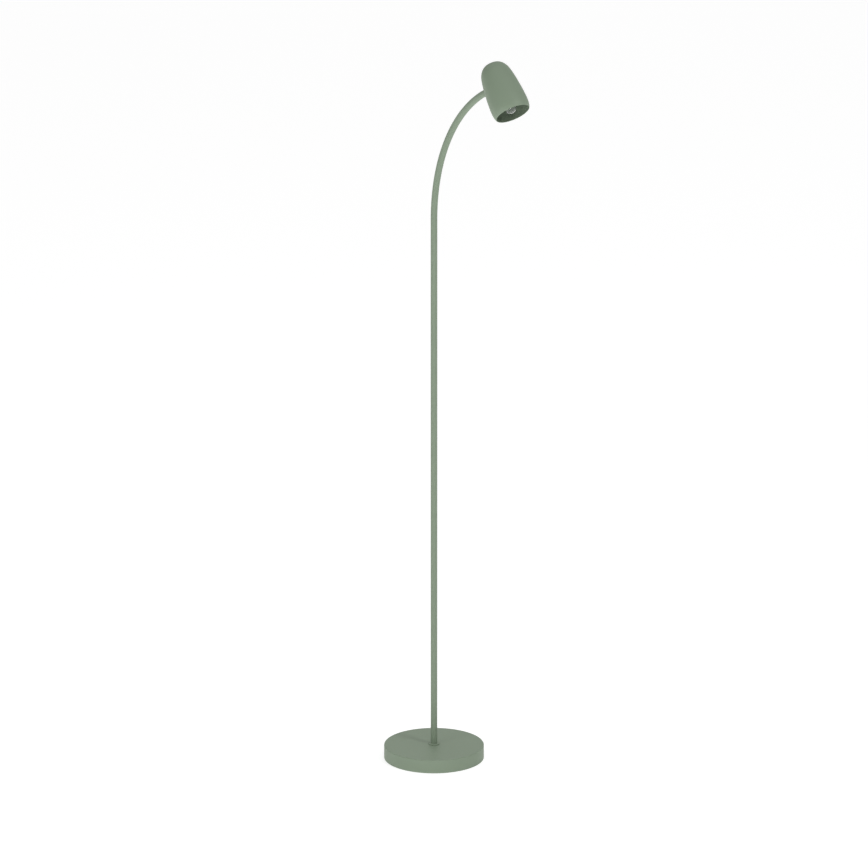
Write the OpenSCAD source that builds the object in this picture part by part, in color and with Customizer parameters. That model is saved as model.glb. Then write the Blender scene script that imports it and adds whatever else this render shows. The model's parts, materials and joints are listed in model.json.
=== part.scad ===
// Floor lamp: round weighted base, straight pole with one bent end, and a small
// bell-shaped head on a swivel and tilt knuckle. Millimetres, +Z up.
// The origin is on the floor, at the centre of the base. The arm reaches towards +X.

/* [Overall] */
// Height from the floor to the top of the shade
lamp_height = 1700; // [1400:5:2100]
// Diameter of the base
base_d = 230; // [180:1:300]
// Radius of the bend in the arm, to the middle of the tube
bend_r = 381; // [280:1:460]
// Angle the arm bends through, from straight up
arm_sweep = 62; // [40:0.5:75]
// Angle of the shade's axis from straight down
head_aim = 41.2; // [15:0.1:60]

/* [Base] */
// Height of the base above the floor
base_h = 32; // [28:0.5:50]
// Thickness of the pressed cover
cover_wall = 1.2; // [0.8:0.1:2.5]
// Rounding of the cover's top edge
cover_round = 2; // [0.5:0.1:5]
// Gap between the cover's rim and the floor
rim_gap = 0.5; // [0.2:0.1:1.5]
// Thickness of the foam pad under the base
pad_t = 2; // [1.6:0.1:4]
// Distance of the pad's edge from the cover's edge
pad_inset = 8; // [4:0.5:15]
// Room round each screw head in the pad
pad_hole_gap = 1; // [0.5:0.1:3]
// Thickness of the closing plate
plate_t = 1.2; // [0.8:0.1:2.5]
// Thickness of the cast weight
weight_t = 14; // [8:0.5:18]
// Chamfer round the weight
weight_chamfer = 2; // [0.5:0.1:4]
// Clearance between the weight and the cover
weight_gap = 1; // [0.3:0.1:3]
// Distance of the plate screws from the centre
boss_pitch_r = 42; // [30:1:45]
// Diameter of the weight's screw bosses
boss_d = 14; // [9:0.5:18]
// Number of plate screws
plate_screw_count = 3; // [3:1:6]
// Thread diameter of a plate screw
plate_screw_d = 4; // [3:0.5:5]
// Length of a plate screw under its head
plate_screw_len = 7.5; // [5:0.5:9]
// Head diameter of a plate screw
plate_screw_head_d = 7; // [5:0.5:9]
// Head height of a plate screw
plate_screw_head_h = 1.4; // [1:0.1:1.5]
// Bore of the cord grommet
cord_bore_d = 6.2; // [4:0.1:7]
// Wall of the grommet's neck
grommet_wall = 0.9; // [0.6:0.1:1.5]
// How far the grommet's lips stand out past its neck
grommet_lip = 0.7; // [0.4:0.1:1]
// Thickness of each grommet lip
grommet_lip_t = 1.3; // [0.8:0.1:2]

/* [Terminal block] */
// Length of the block, along the lead
block_l = 20; // [14:1:30]
// Width of the block
block_w = 18; // [12:1:26]
// Distance from the lamp's axis to the block
block_gap = 24; // [18:1:34]
// Bore for each wire
wire_bore_d = 3; // [2:0.1:4]
// Diameter of a clamp screw
clamp_screw_d = 2.8; // [2:0.1:3.5]
// Wall that closes the far end of each wire bore
block_web = 2; // [1:0.5:4]

/* [Stem and pole] */
// Outer diameter of the pole and arm tube
pole_d = 15; // [14.5:0.1:22]
// Wall of the pole and arm tube
pole_wall = 1.2; // [0.8:0.1:1.5]
// Diameter of the threaded stems
thread_d = 10; // [9:0.1:10.4]
// Bore through the threaded stems
thread_bore_d = 7; // [6:0.1:7.5]
// Width across flats of the stem nut
stem_nut_af = 14; // [13:0.5:18]
// Thickness of the stem nut
stem_nut_t = 3; // [2:0.1:4]
// Thickness of the stem washer
stem_washer_t = 0.5; // [0.3:0.1:1]
// Diameter of the stem washer
stem_washer_d = 20; // [17:0.5:30]
// Diameter of the collar at the foot of the pole
foot_collar_d = 25; // [20:0.5:45]
// Height of the foot collar
foot_collar_h = 2.5; // [2:0.1:8]
// Depth that the pole sits in the foot collar
foot_recess = 1.5; // [0.5:0.1:1.6]
// Straight length of the arm tube below its bend
arm_stub = 140; // [60:5:250]
// Length of each plug inside the tubes
plug_l = 20; // [15:0.5:40]
// Length of each threaded stud between two tubes
stud_l = 12; // [6:0.5:14]
// Diameter of the lead inside the pole
lead_d = 4.6; // [3:0.1:5]
// Bend radius of the lead inside the base
lead_bend_r = 6; // [5.5:0.1:7]

/* [Swivel] */
// Length of the bush in the end of the arm
bush_l = 14; // [8:0.5:20]
// Diameter of the knuckle's spigot
spigot_d = 8; // [7:0.1:8.4]
// Bore for the lead through the knuckle
knuckle_bore_d = 5.6; // [4:0.1:5.8]
// Thickness of the friction ring under the knuckle
swivel_washer_t = 0.5; // [0.3:0.1:1]
// Diameter of the stop pin
stop_pin_d = 1.6; // [1:0.1:1.8]
// Length of the stop pin
stop_pin_l = 5.5; // [4:0.1:8]
// How far the stop pin stands out of the bush
stop_pin_out = 1.5; // [1.2:0.1:2]
// Angle the head swivels to each side
swivel_limit = 160; // [90:1:162]
// Thickness of the spigot's retaining clip
clip_t = 0.9; // [0.6:0.1:1.2]
// Depth of the clip's groove
clip_groove = 0.7; // [0.4:0.1:0.9]
// How far the clip stands out past the spigot
clip_lip = 1.2; // [0.6:0.1:1.3]

/* [Knuckle] */
// Length of the round collar on the arm's half
base_collar_h = 3.7; // [3.2:0.1:8]
// Length of the round collar on the head's half
head_collar_h = 3.4; // [2:0.1:8]
// Gap between a collar and the other half's round end
lap_gap = 0.3; // [0.2:0.05:0.6]
// Thickness of the friction washer between the halves
washer_t = 0.8; // [0.4:0.1:1]
// Diameter of the pivot screw
pivot_d = 4; // [3:0.1:4.2]
// Wall left round the pivot, inside the wire groove
pivot_wall = 0.8; // [0.6:0.1:1]
// Width of the wire groove round the pivot
groove_w = 2.5; // [1.8:0.1:2.6]
// Depth of the wire groove in each half
groove_depth = 2.4; // [1.5:0.1:2.5]
// Head diameter of the pivot screw
pivot_head_d = 7; // [6:0.1:7.4]
// Head height of the pivot screw
pivot_head_h = 1; // [0.8:0.1:1.2]
// Thickness of the spring washer
spring_t = 0.5; // [0.3:0.1:0.6]
// Web between the wire groove and the screw head's recess
pivot_web = 2.2; // [1.5:0.1:2.3]
// Width across flats of the pivot nut
pivot_nut_af = 7; // [6:0.1:7.2]
// Thickness of the pivot nut
pivot_nut_t = 2; // [1.5:0.1:2.2]

/* [Shade] */
// Length of the shade along its axis
shade_l = 127.5; // [115:0.5:160]
// Outer radius at the mouth
mouth_r = 39.5; // [36:0.1:60]
// Outer radius at the fullest point
belly_r = 43.3; // [40:0.1:65]
// Distance of the fullest point from the mouth
belly_s = 21; // [12:0.5:35]
// Outer radius at the shoulder
shoulder_r = 32.1; // [31:0.1:50]
// Distance of the shoulder from the closed end
crown_h = 19.6; // [12:0.1:35]
// Wall of the shade
shade_wall = 1.2; // [0.8:0.1:2]
// Distance of the knuckle from the mouth
knuckle_s = 86.4; // [80:0.1:90]
// Least thickness of the shaped spacers on the shade's wall
saddle_min = 0.8; // [0.5:0.1:2]
// Thread diameter of the hollow stud that carries the shade
head_stud_d = 8; // [7:0.1:9]
// Depth from the shade's spacer to the end of the stud
head_stud_past = 4.5; // [4:0.1:6]
// Width across flats of the stud's nut
stud_nut_af = 12; // [11:0.5:13]
// Thickness of the stud's nut
stud_nut_t = 3.5; // [2:0.1:4]

/* [Lampholder] */
// Distance from the mouth to the open end of the lampholder
holder_s = 52; // [46:0.5:54]
// Length of the lampholder
holder_l = 44; // [42:0.5:46]
// Diameter of the lampholder's body
holder_d = 27; // [24:0.5:28]
// Diameter of the lampholder's open skirt
skirt_d = 23; // [19:0.5:23.5]
// Length of the lampholder's open skirt
skirt_l = 14; // [8:0.5:20]
// Diameter of the socket in the lampholder
socket_d = 15.2; // [15:0.1:17]
// Depth of the socket
socket_l = 26; // [25.5:0.1:28]
// Thickness of the brass thread
shell_t = 0.4; // [0.3:0.05:0.4]
// Length of the brass thread
shell_l = 16; // [10:0.5:18]
// Distance of the brass thread from the open end
shell_in = 2; // [1:0.5:4]
// Thickness of the bracket's strap
strap_t = 2; // [1.5:0.1:2.5]
// Width of the bracket's strap
strap_w = 14; // [12:0.5:15]
// Inside radius of the bracket's bend
strap_bend = 2; // [1:0.1:3]
// Length of the strap past the stud, beyond half its width
strap_foot = 2; // [0.5:0.5:4]
// Width of the strap's round eye over the rest of it
strap_eye = 3; // [2:0.5:5]
// Length of the lampholder's threaded neck
neck_l = 16; // [14:0.5:22]
// Depth of the threaded neck in the lampholder
neck_in = 8; // [5:0.5:10]
// Diameter of each insulated wire in the head
wire_d = 2.2; // [1.4:0.1:2.3]
// Distance of each wire's middle from the head's middle plane
wire_side = 1.32; // [1.2:0.02:1.4]
// Depth of each wire in the lampholder
wire_in = 3.375; // [2:0.125:4]

/* [Bulb] */
// Radius of the bulb's round end
bulb_r = 15.6; // [12:0.1:20]
// Distance from the mouth to the tip of the bulb
bulb_tip_s = 2.1; // [1:0.1:6]
// Wall of the glass
glass_t = 0.6; // [0.4:0.05:0.8]
// Length of the glass outside its cap
glass_l = 48; // [47:0.5:49]
// Depth of the glass in its cap
glass_in_cap = 2; // [1:0.5:3]
// Length of the curve from the round end into the taper
glass_shoulder = 15; // [13:0.5:16]
// Length of the curve from the taper into the neck
glass_taper = 16; // [14:0.5:17]
// Outer radius of the glass at its neck
glass_neck_r = 6.4; // [6:0.05:6.5]
// Outer diameter of the bulb's screw cap
cap_d = 13.8; // [13.4:0.05:13.9]
// Wall of the screw cap
cap_t = 0.3; // [0.2:0.05:0.35]
// Length of the cap's straight screw part
cap_l = 19; // [16:0.5:20]
// Length of the cap's tapered end
cap_taper_l = 4; // [2:0.1:5]
// Height of the contact at the cap's end
cap_contact_h = 2; // [1:0.1:2.5]
// Diameter of the support wires
support_d = 0.6; // [0.4:0.05:1]
// Diameter of the filament
filament_d = 0.9; // [0.5:0.05:1.5]
// Spread of the filament
filament_w = 11; // [6:0.5:16]
// Distance of the filament from the centre of the round end
filament_up = 1; // [0:0.5:4]
// Distance of the glass stem's top from the centre of the round end
stem_up = 18; // [14:0.5:20]
// Depth of the support wires in the glass stem
support_in = 1; // [0.5:0.5:2]

/* [Hidden] */
$fn = 96;

// Colours
sage = [0.55, 0.60, 0.53];
iron = [0.25, 0.25, 0.26];
steel = [0.70, 0.71, 0.73];
brass = [0.80, 0.66, 0.36];
foam = [0.10, 0.10, 0.10];
cream = [0.93, 0.92, 0.87];
clear = [0.85, 0.90, 0.90, 0.4];

// Fits: a cut runs past its piece by this much, and these gaps part what moves or slips in
over = 1;
slip = 0.25;
run_fit = 0.05;
part_gap = 0.1;
plug_step = 0.3;
pin_end_gap = 0.7;
pin_side_gap = 0.15;
rib_ease = 2;
saddle_rise = 2.6;
wire_end_gap = 0.7;

// Shares of small trim: slots and eased edges as a part of the width they are cut in, and the
// proportions of the clamp screws, the bulb's cap and glass mount, and the sprung contact
slot_share = 1 / 7;
collar_edge_share = 1 / 5;
holder_edge_share = 1 / 14;
clamp_places = [0.25, 0.75];
clamp_sunk_share = 0.3;
lead_end_share = 1.6;
contact_w_share = 1 / 4;
contact_reach_share = 0.4;
contact_arm_share = 0.4;
cap_end_share = 0.45;
cap_tip_share = 0.35;
mount_share = 1 / 3;
mount_top_share = 0.8;
mount_round = 3;
mount_flare = 7;

// Base levels
base_r = base_d / 2;
cover_ir = base_r - cover_wall;
plate_top = pad_t + plate_t;
weight_top = base_h - cover_wall;
weight_bottom = weight_top - weight_t;
stem_nut_z = weight_bottom - stem_washer_t - stem_nut_t;
cord_r = cord_bore_d / 2;
grommet_neck_r = cord_r + grommet_wall;
grommet_z = (plate_top + weight_bottom) / 2;

// Stem and pole levels
pole_r = pole_d / 2;
pole_ir = pole_r - pole_wall;
thread_r = thread_d / 2;
thread_bore_r = thread_bore_d / 2;
plug_bore_r = thread_bore_r - plug_step;
pole_foot_z = base_h + foot_collar_h - foot_recess;
lead_r = lead_d / 2;
lead_z = plate_top + lead_r + part_gap;

// Lower end of the knuckle: the pivot lies on the arm's line past its end
lap_r = pole_r;
pivot_reach = swivel_washer_t + base_collar_h + lap_gap + lap_r;
groove_ir = pivot_d / 2 + pivot_wall;
groove_or = groove_ir + groove_w;
knuckle_bore_r = knuckle_bore_d / 2;
bush_bore_r = spigot_d / 2 + run_fit;
stop_r = (spigot_d / 2 + pole_ir) / 2;
stop_groove_h = stop_pin_out + pin_end_gap - swivel_washer_t;
recess_y = washer_t / 2 + groove_depth + pivot_web;

// Shade outline: three smooth curves of [radius, distance from the mouth]. Their handles are
// shares of the length and width that each curve covers.
shoulder_s = shade_l - crown_h;
lip_lean = 0.78;
lip_bow = 0.25;
belly_bow = 0.62;
side_bow = 0.228;
shoulder_bow = 0.16;
shoulder_lean = 0.45;
crown_bow = 0.77;
crown_flat = 0.515;
lip_curve = [
    [mouth_r, 0],
    [mouth_r + lip_lean * (belly_r - mouth_r), belly_s * lip_bow],
    [belly_r, belly_s * belly_bow],
    [belly_r, belly_s]
];
shoulder_rise = (shoulder_s - belly_s) * shoulder_bow;
shoulder_in = shoulder_rise * shoulder_lean;
side_curve = [
    [belly_r, belly_s],
    [belly_r, belly_s + (shoulder_s - belly_s) * side_bow],
    [shoulder_r + shoulder_in, shoulder_s - shoulder_rise],
    [shoulder_r, shoulder_s]
];
crown_curve = [
    [shoulder_r, shoulder_s],
    [shoulder_r - shoulder_in * crown_h * crown_bow / shoulder_rise, shoulder_s + crown_h * crown_bow],
    [shoulder_r * crown_flat, shade_l],
    [0, shade_l]
];
shade_curves = [lip_curve, side_curve, crown_curve];
curve_steps = 12;
lip_steps = 6;
outer_line = outline(0);
inner_line = outline(shade_wall);
outer_table = [for (p = outer_line) [p[1], p[0]]];
inner_table = [for (p = inner_line) [p[1], p[0]]];

// Head: the knuckle's flat seat lies just outside the shade's wall
seat_r = lookup(knuckle_s - lap_r, outer_table) + saddle_min;
pivot_out = seat_r + head_collar_h + lap_gap + lap_r;
inner_seat_r = lookup(knuckle_s + lap_r, inner_table) - saddle_min - saddle_rise;
strap_in = inner_seat_r - strap_t;
stud_end_r = strap_in - head_stud_past;
head_stud_r = head_stud_d / 2;
top_rise = max([for (p = outer_line) p[1] * cos(head_aim) + p[0] * sin(head_aim)]);

// Arm: the straight part is as long as the whole height needs
bend_z = lamp_height - top_rise - pivot_out * sin(head_aim) + knuckle_s * cos(head_aim)
    - pivot_reach * cos(arm_sweep) - bend_r * sin(arm_sweep);
arm_end_x = bend_r * (1 - cos(arm_sweep));
arm_end_z = bend_z + bend_r * sin(arm_sweep);
upper_seam_z = bend_z - arm_stub;
lower_seam_z = (pole_foot_z + upper_seam_z) / 2;
pivot_x = arm_end_x + pivot_reach * sin(arm_sweep);
pivot_z = arm_end_z + pivot_reach * cos(arm_sweep);
mouth_x = pivot_x + pivot_out * cos(head_aim) + knuckle_s * sin(head_aim);
mouth_z = pivot_z + pivot_out * sin(head_aim) - knuckle_s * cos(head_aim);
bush_sweep = bush_l / bend_r * 180 / PI;
clip_z = -(bend_r + pole_ir) * sin(bush_sweep) - part_gap - clip_t;

// Lampholder and bulb, all along the shade's axis from the mouth
holder_end = holder_s + holder_l;
strap_top = holder_end + strap_t;
cap_s = bulb_tip_s + glass_l;
cap_contact_s = cap_s + cap_l + cap_taper_l;
socket_end = holder_s + socket_l;
bulb_centre_s = bulb_tip_s + bulb_r;
glass_end_s = cap_s + glass_in_cap;
stem_top_s = bulb_centre_s + stem_up;
filament_s = bulb_centre_s + filament_up;

// Curves
function bend(p, t) = pow(1 - t, 3) * p[0] + 3 * pow(1 - t, 2) * t * p[1]
    + 3 * (1 - t) * t * t * p[2] + t * t * t * p[3];
function heading(p, t) = pow(1 - t, 2) * (p[1] - p[0]) + 2 * (1 - t) * t * (p[2] - p[1])
    + t * t * (p[3] - p[2]);
function inside(p, t, depth) = bend(p, t)
    + depth * [-heading(p, t)[1], heading(p, t)[0]] / norm(heading(p, t));
function outline(depth) = concat(
    [for (c = shade_curves, i = [0:curve_steps - 1]) inside(c, i / curve_steps, depth)],
    [inside(crown_curve, 1, depth)]
);
function arc(centre, r, from, to, steps) =
    [for (i = [0:steps]) centre + r * [cos(from + (to - from) * i / steps),
        sin(from + (to - from) * i / steps)]];
function reversed(list) = [for (i = [len(list) - 1:-1:0]) list[i]];

// Basic shapes
module tube(outer_r, inner_r, h) {
    difference() {
        cylinder(r = outer_r, h = h);
        translate([0, 0, -over]) cylinder(r = inner_r, h = h + 2 * over);
    }
}
module hex_nut(flats, bore_r, h) {
    difference() {
        cylinder(d = flats / cos(30), h = h, $fn = 6);
        translate([0, 0, -over]) cylinder(r = bore_r, h = h + 2 * over);
    }
}
module along_y(r, from, to) {
    translate([0, from, 0]) rotate([-90, 0, 0]) cylinder(r = r, h = to - from);
}
module along_x(r, from, to) {
    translate([from, 0, 0]) rotate([0, 90, 0]) cylinder(r = r, h = to - from);
}
// Part of the arm's bend, swept from its foot. The profile is turned to start on +X, where the
// straight tube's does, so the two join in one clean ring.
module arm_arc(from, to) {
    translate([bend_r, 0, bend_z]) rotate([90, 0, 180]) rotate([0, 0, from])
        rotate_extrude(angle = to - from) translate([bend_r, 0]) rotate(180) children();
}
module at_arm_end() {
    translate([arm_end_x, 0, arm_end_z]) rotate([0, arm_sweep, 0]) children();
}
module at_pivot() {
    at_arm_end() translate([0, 0, pivot_reach]) children();
}
module in_head() {
    translate([mouth_x, 0, mouth_z]) rotate([0, -head_aim, 0]) children();
}
module at_head_pivot() {
    in_head() translate([-pivot_out, 0, knuckle_s]) children();
}
module round_bosses() {
    for (i = [0:plate_screw_count - 1])
        rotate([0, 0, i * 360 / plate_screw_count]) translate([boss_pitch_r, 0, 0]) children();
}

// Base
module floor_pad() {
    color(foam) difference() {
        cylinder(r = base_r - pad_inset, h = pad_t);
        round_bosses() translate([0, 0, -over])
            cylinder(r = plate_screw_head_d / 2 + pad_hole_gap, h = pad_t + 2 * over);
    }
}
module base_plate() {
    color(steel) difference() {
        translate([0, 0, pad_t]) cylinder(r = cover_ir - slip, h = plate_t);
        round_bosses() translate([0, 0, pad_t - over])
            cylinder(r = plate_screw_d / 2 + slip, h = plate_t + 2 * over);
    }
}
module plate_screws() {
    slot_w = plate_screw_head_d * slot_share;
    color(steel) round_bosses() difference() {
        union() {
            translate([0, 0, pad_t - plate_screw_head_h])
                cylinder(d = plate_screw_head_d, h = plate_screw_head_h);
            translate([0, 0, pad_t]) cylinder(d = plate_screw_d, h = plate_screw_len);
        }
        translate([-plate_screw_head_d, -slot_w / 2, pad_t - plate_screw_head_h - over])
            cube([2 * plate_screw_head_d, slot_w, plate_screw_head_h / 2 + over]);
    }
}
module base_weight() {
    weight_r = cover_ir - weight_gap;
    screw_end = pad_t + plate_screw_len;
    color(iron) difference() {
        union() {
            rotate_extrude() polygon([
                [0, weight_bottom], [weight_r, weight_bottom],
                [weight_r, weight_top - weight_chamfer], [weight_r - weight_chamfer, weight_top],
                [0, weight_top]
            ]);
            round_bosses() translate([0, 0, plate_top])
                cylinder(d = boss_d, h = weight_bottom - plate_top + over);
        }
        translate([0, 0, weight_bottom - over])
            cylinder(r = thread_r + slip, h = weight_t + 2 * over);
        round_bosses() translate([0, 0, plate_top - over])
            cylinder(d = plate_screw_d, h = screw_end - plate_top + 2 * over);
    }
}
module base_cover() {
    round_in = max(cover_round - cover_wall, 0.3);
    hole_r = thread_r + slip;
    color(sage) difference() {
        rotate_extrude() polygon(concat(
            [[base_r, rim_gap]],
            arc([base_r - cover_round, base_h - cover_round], cover_round, 0, 90, 8),
            [[hole_r, base_h], [hole_r, weight_top]],
            arc([cover_ir - round_in, weight_top - round_in], round_in, 90, 0, 4),
            [[cover_ir, rim_gap]]
        ));
        translate([0, 0, grommet_z]) along_x(grommet_neck_r, -base_r - over, -base_r / 2);
    }
}
module cord_grommet() {
    wall_back = cover_ir - 2 * part_gap;
    lip_r = grommet_neck_r + grommet_lip;
    color(foam) translate([0, 0, grommet_z]) difference() {
        union() {
            along_x(grommet_neck_r, -base_r, -wall_back);
            along_x(lip_r, -base_r - grommet_lip_t, -base_r);
            along_x(lip_r, -wall_back, -wall_back + grommet_lip_t);
        }
        along_x(cord_r, -base_r - grommet_lip_t - over, -wall_back + grommet_lip_t + over);
    }
}
module terminal_block() {
    color(cream) difference() {
        translate([-block_gap - block_l, -block_w / 2, lead_z - lead_r])
            cube([block_l, block_w, weight_bottom - lead_z + lead_r]);
        for (side = [-1, 1]) {
            translate([0, side * block_w / 4, grommet_z])
                along_x(wire_bore_d / 2, -block_gap - block_l - over, -block_gap - block_web);
            terminal_places(side) translate([0, 0, -over])
                cylinder(d = clamp_screw_d, h = grommet_z - lead_z + lead_r + over);
        }
    }
}
module terminal_places(side) {
    for (end = clamp_places)
        translate([-block_gap - block_l * end, side * block_w / 4, lead_z - lead_r]) children();
}
module terminal_screws() {
    screw_h = grommet_z - wire_bore_d / 2 - lead_z + lead_r;
    sunk = screw_h * clamp_sunk_share;
    color(brass) for (side = [-1, 1]) terminal_places(side) translate([0, 0, sunk])
        cylinder(d = clamp_screw_d, h = screw_h - sunk);
}

// Stem, pole and arm
module stem_nipple() {
    color(steel) translate([0, 0, stem_nut_z])
        tube(thread_r, thread_bore_r, pole_foot_z + stud_l - stem_nut_z);
}
module stem_nut() {
    color(steel) translate([0, 0, stem_nut_z]) hex_nut(stem_nut_af, thread_r, stem_nut_t);
}
module stem_washer() {
    color(steel) translate([0, 0, weight_bottom - stem_washer_t])
        tube(stem_washer_d / 2, thread_r + slip, stem_washer_t);
}
module foot_collar() {
    edge = foot_collar_h * collar_edge_share;
    collar_r = foot_collar_d / 2;
    recess_r = pole_r + part_gap / 2;
    color(sage) translate([0, 0, base_h]) rotate_extrude() polygon([
        [thread_r + slip, 0], [collar_r, 0], [collar_r, foot_collar_h - edge],
        [collar_r - edge, foot_collar_h], [recess_r, foot_collar_h],
        [recess_r, foot_collar_h - foot_recess], [thread_r + slip, foot_collar_h - foot_recess]
    ]);
}
module socket_plug(z) {
    color(steel) translate([0, 0, z]) difference() {
        cylinder(r = pole_ir, h = plug_l);
        translate([0, 0, -over]) cylinder(r = thread_r, h = stud_l + 2 * over);
        translate([0, 0, -over]) cylinder(r = plug_bore_r, h = plug_l + 2 * over);
    }
}
module stud_plug(z) {
    color(steel) translate([0, 0, z]) difference() {
        union() {
            translate([0, 0, -plug_l]) cylinder(r = pole_ir, h = plug_l);
            cylinder(r = thread_r, h = stud_l);
        }
        translate([0, 0, -plug_l - over]) cylinder(r = plug_bore_r, h = plug_l + stud_l + 2 * over);
    }
}
module foot_insert() {
    socket_plug(pole_foot_z);
}
module lower_pole() {
    color(sage) translate([0, 0, pole_foot_z]) tube(pole_r, pole_ir, lower_seam_z - pole_foot_z);
}
module lower_stud() {
    stud_plug(lower_seam_z);
}
module upper_socket() {
    socket_plug(lower_seam_z);
}
module upper_pole() {
    color(sage) translate([0, 0, lower_seam_z]) tube(pole_r, pole_ir, upper_seam_z - lower_seam_z);
}
module upper_stud() {
    stud_plug(upper_seam_z);
}
module arm_socket() {
    socket_plug(upper_seam_z);
}
module arm_tube() {
    color(sage) union() {
        translate([0, 0, upper_seam_z]) tube(pole_r, pole_ir, bend_z - upper_seam_z);
        arm_arc(0, arm_sweep) difference() {
            circle(r = pole_r);
            circle(r = pole_ir);
        }
    }
}
module arm_end_bush() {
    color(steel) difference() {
        arm_arc(arm_sweep - bush_sweep, arm_sweep) circle(r = pole_ir);
        at_arm_end() translate([0, 0, -bush_l - over]) cylinder(r = bush_bore_r, h = bush_l + 2 * over);
        at_arm_end() translate([stop_r, 0, stop_pin_out - stop_pin_l])
            cylinder(d = stop_pin_d, h = stop_pin_l);
    }
}
module pole_lead() {
    lead_end = arm_sweep - bush_sweep * lead_end_share;
    color(cream) union() {
        translate([0, 0, lead_z]) along_x(lead_r, -block_gap, -lead_bend_r);
        translate([-lead_bend_r, 0, lead_z + lead_bend_r]) rotate([90, 0, 0]) rotate([0, 0, -90])
            rotate_extrude(angle = 90) translate([lead_bend_r, 0]) circle(r = lead_r);
        translate([0, 0, lead_z + lead_bend_r])
            cylinder(r = lead_r, h = bend_z - lead_z - lead_bend_r);
        arm_arc(0, lead_end) circle(r = lead_r);
    }
}

// Swivel and knuckle
module swivel_washer() {
    color(foam) at_arm_end() translate([0, 0, part_gap / 2])
        tube(pole_r - slip, pole_ir, swivel_washer_t - part_gap);
}
module stop_pin() {
    color(steel) at_arm_end() translate([stop_r, 0, stop_pin_out - stop_pin_l])
        cylinder(d = stop_pin_d, h = stop_pin_l);
}
// One half of the knuckle: pivot at the origin, stem towards -Z, lap on one side of Y = 0
module half_lap(side, reach, pivot_hole_r) {
    collar_h = reach - lap_r - lap_gap;
    face_y = washer_t / 2;
    lap_y = side > 0 ? face_y : -lap_r;
    groove_y = side > 0 ? face_y - over : -face_y - groove_depth;
    difference() {
        union() {
            translate([0, 0, -reach]) cylinder(r = lap_r, h = collar_h);
            intersection() {
                union() {
                    translate([0, 0, -reach]) cylinder(r = lap_r, h = reach);
                    intersection() {
                        translate([0, 0, -over]) cylinder(r = lap_r, h = lap_r + over);
                        along_y(lap_r, -lap_r, lap_r);
                    }
                }
                translate([-lap_r, lap_y, -reach]) cube([2 * lap_r, lap_r - face_y, reach + lap_r]);
            }
        }
        difference() {
            along_y(groove_or, groove_y, groove_y + groove_depth + over);
            along_y(groove_ir, -lap_r, lap_r);
        }
        translate([0, 0, -reach - over]) cylinder(r = knuckle_bore_r, h = reach + over - groove_ir);
        along_y(pivot_hole_r, -lap_r - over, lap_r + over);
    }
}
module stop_groove() {
    pin_half = asin(stop_pin_d / 2 / stop_r);
    rib_half = 180 - swivel_limit - pin_half - rib_ease;
    groove_half_w = stop_pin_d / 2 + pin_side_gap;
    rotate([0, 0, 180 + rib_half]) rotate_extrude(angle = 360 - 2 * rib_half)
        translate([stop_r - groove_half_w, -over])
            square([2 * groove_half_w, stop_groove_h + over]);
}
module knuckle_base() {
    recess_r = pivot_head_d / 2 + slip;
    collar_z = swivel_washer_t - pivot_reach;
    spigot_tail = 2;
    spigot_end = clip_z - part_gap / 2 - spigot_tail;
    color(sage) difference() {
        union() {
            at_pivot() difference() {
                half_lap(-1, -collar_z, pivot_d / 2 + run_fit);
                along_y(recess_r, -lap_r - over, -recess_y);
                translate([0, 0, collar_z]) stop_groove();
            }
            at_arm_end() translate([0, 0, spigot_end]) difference() {
                cylinder(d = spigot_d, h = swivel_washer_t - spigot_end + stop_groove_h / 2);
                translate([0, 0, spigot_tail])
                    tube(spigot_d, spigot_d / 2 - clip_groove, clip_t + part_gap);
            }
        }
        at_arm_end() translate([0, 0, spigot_end - over])
            cylinder(r = knuckle_bore_r, h = pivot_reach - spigot_end);
    }
}
module swivel_clip() {
    color(steel) at_arm_end() translate([0, 0, clip_z])
        tube(spigot_d / 2 + clip_lip, spigot_d / 2 - clip_groove, clip_t);
}
module friction_washer() {
    color(foam) at_pivot() difference() {
        along_y(lap_r - slip, -washer_t / 2, washer_t / 2);
        along_y(groove_or + part_gap, -washer_t, washer_t);
    }
}
module knuckle_head() {
    stud_h = seat_r - stud_end_r;
    reach = head_collar_h + lap_gap + lap_r;
    color(sage) at_head_pivot() rotate([0, -90, 0]) difference() {
        union() {
            difference() {
                half_lap(1, reach, pivot_d / 2);
                rotate([-90, 0, 0]) translate([0, 0, recess_y - part_gap])
                    cylinder(d = (pivot_nut_af + part_gap) / cos(30), h = lap_r, $fn = 6);
            }
            translate([0, 0, -reach - stud_h]) cylinder(r = head_stud_r, h = stud_h + head_collar_h / 2);
        }
        translate([0, 0, -reach - stud_h - over])
            cylinder(r = knuckle_bore_r, h = stud_h + reach + over - groove_ir);
    }
}
module pivot_screw() {
    head_y = -recess_y - spring_t - pivot_head_h;
    slot_w = pivot_head_d * slot_share;
    color(steel) at_head_pivot() difference() {
        union() {
            along_y(pivot_head_d / 2, head_y, -recess_y - spring_t);
            along_y(pivot_d / 2, head_y, recess_y + pivot_nut_t - part_gap);
        }
        translate([-pivot_head_d, head_y - over, -slot_w / 2])
            cube([2 * pivot_head_d, over + pivot_head_h / 2, slot_w]);
    }
}
module pivot_spring() {
    color(steel) at_head_pivot() translate([0, -recess_y, 0]) rotate([90, 0, 0])
        tube(pivot_head_d / 2, pivot_d / 2, spring_t);
}
module pivot_nut() {
    color(steel) at_head_pivot() rotate([0, -90, 0]) translate([0, recess_y - part_gap, 0])
        rotate([-90, 0, 0]) hex_nut(pivot_nut_af, pivot_d / 2, pivot_nut_t);
}

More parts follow.
